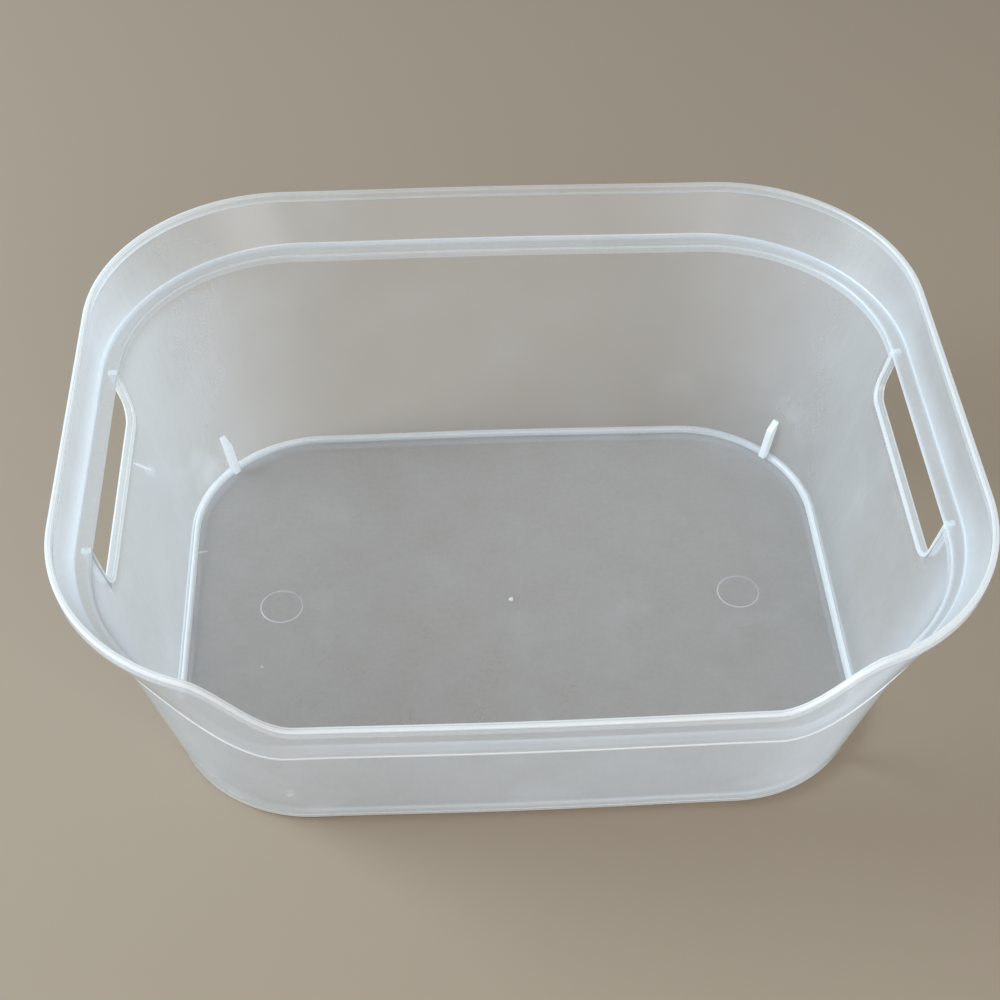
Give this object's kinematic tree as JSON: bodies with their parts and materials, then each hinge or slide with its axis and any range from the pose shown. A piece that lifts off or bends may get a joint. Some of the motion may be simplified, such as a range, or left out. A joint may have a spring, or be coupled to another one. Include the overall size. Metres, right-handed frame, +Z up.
{
  "type": "open storage bin",
  "caption": "Open-top rounded storage bin in translucent plastic, with hand holes in the short sides, a stepped rim band and a dipped front for reaching in.",
  "frame": {"origin": "middle of the underside, on the surface that the bin stands on", "axes": "+X along the long side towards the right-hand hole, +Y to the back, away from the dipped front, +Z up"},
  "size_m": [0.34, 0.272, 0.121],
  "materials": {
    "frosted_polypropylene": "semi-gloss outside and inside, milky translucent"
  },
  "bodies": {
    "root": {"floor_panel": "frosted_polypropylene", "foot_ring": "frosted_polypropylene", "hand_hole_rim_left": "frosted_polypropylene", "hand_hole_rim_right": "frosted_polypropylene", "ledge_back": "frosted_polypropylene", "ledge_corner_back_left": "frosted_polypropylene", "ledge_corner_back_right": "frosted_polypropylene", "ledge_corner_front_left": "frosted_polypropylene", "ledge_corner_front_right": "frosted_polypropylene", "ledge_front": "frosted_polypropylene", "ledge_left": "frosted_polypropylene", "ledge_right": "frosted_polypropylene", "lower_wall_back": "frosted_polypropylene", "lower_wall_corner_back_left": "frosted_polypropylene", "lower_wall_corner_back_right": "frosted_polypropylene", "lower_wall_corner_front_left": "frosted_polypropylene", "lower_wall_corner_front_right": "frosted_polypropylene", "lower_wall_front": "frosted_polypropylene", "lower_wall_left": "frosted_polypropylene", "lower_wall_right": "frosted_polypropylene", "rim_lip_back": "frosted_polypropylene", "rim_lip_corner_back_left": "frosted_polypropylene", "rim_lip_corner_back_right": "frosted_polypropylene", "rim_lip_corner_front_left": "frosted_polypropylene", "rim_lip_corner_front_right": "frosted_polypropylene", "rim_lip_front": "frosted_polypropylene", "rim_lip_left": "frosted_polypropylene", "rim_lip_right": "frosted_polypropylene", "stacking_rib_back_left": "frosted_polypropylene", "stacking_rib_back_right": "frosted_polypropylene", "stacking_rib_front_left": "frosted_polypropylene", "stacking_rib_front_right": "frosted_polypropylene", "upper_band_back": "frosted_polypropylene", "upper_band_corner_back_left": "frosted_polypropylene", "upper_band_corner_back_right": "frosted_polypropylene", "upper_band_corner_front_left": "frosted_polypropylene", "upper_band_corner_front_right": "frosted_polypropylene", "upper_band_front": "frosted_polypropylene", "upper_band_left": "frosted_polypropylene", "upper_band_right": "frosted_polypropylene"}
  },
  "joints": []
}
